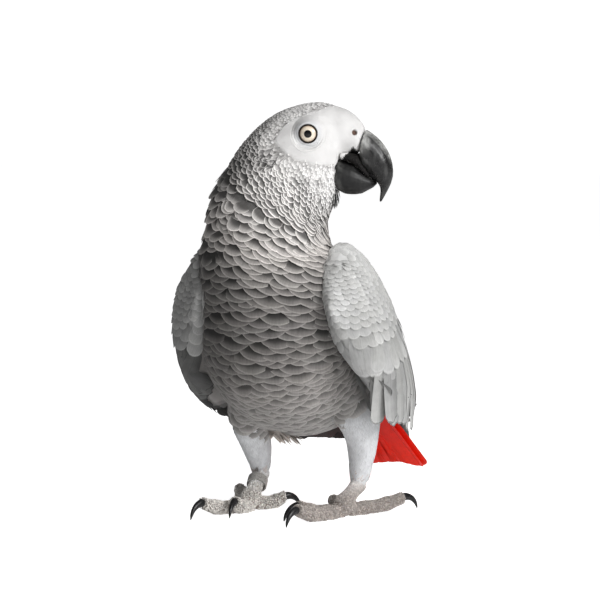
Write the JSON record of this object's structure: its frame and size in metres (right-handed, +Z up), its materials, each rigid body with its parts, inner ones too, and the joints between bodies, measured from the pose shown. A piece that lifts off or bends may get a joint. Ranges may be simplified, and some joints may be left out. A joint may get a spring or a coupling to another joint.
{
  "type": "grey parrot",
  "caption": "Life-size still model of a standing grey parrot with its head turned to its left, a red tail and a plain ring on its right leg.",
  "frame": {"origin": "middle of the bottom of the bird's box, at the level that its feet stand on", "axes": "+Z up, -Y the way the breast faces, +Y towards the tail, +X the bird's left"},
  "size_m": [0.1138, 0.2058, 0.1982],
  "materials": {
    "grey_feathers": "layered grey feathers with pale edges",
    "wing_feathers": "smooth close-laid grey feathers",
    "flight_feathers": "stiff dark grey vanes",
    "tail_feathers": "bright red vanes",
    "face_skin": "bare pale skin",
    "bill_horn": "dark horn with a soft shine",
    "eye": "wet and clear over a pale iris",
    "leg_feathers": "short soft pale feathers",
    "foot_skin": "pebbled grey scales",
    "claw_horn": "dark polished horn",
    "ring_metal": "worn satin metal"
  },
  "bodies": {
    "root": {"head": "grey_feathers", "cere": "face_skin", "upper_bill": "bill_horn", "lower_bill": "bill_horn", "palate": "bill_horn", "eye_left": "eye", "eye_right": "eye", "neck": "grey_feathers", "trunk": "grey_feathers", "wing_left": "wing_feathers", "wing_right": "wing_feathers", "primaries_left": "flight_feathers", "primaries_right": "flight_feathers", "tail": "tail_feathers", "thigh_left": "leg_feathers", "shank_left": "foot_skin", "toe_left_1": "foot_skin", "toe_left_2": "foot_skin", "toe_left_3": "foot_skin", "toe_left_4": "foot_skin", "claw_left_1": "claw_horn", "claw_left_2": "claw_horn", "claw_left_3": "claw_horn", "claw_left_4": "claw_horn", "thigh_right": "leg_feathers", "shank_right": "foot_skin", "toe_right_1": "foot_skin", "toe_right_2": "foot_skin", "toe_right_3": "foot_skin", "toe_right_4": "foot_skin", "claw_right_1": "claw_horn", "claw_right_2": "claw_horn", "claw_right_3": "claw_horn", "claw_right_4": "claw_horn", "leg_ring": "ring_metal"}
  },
  "joints": []
}
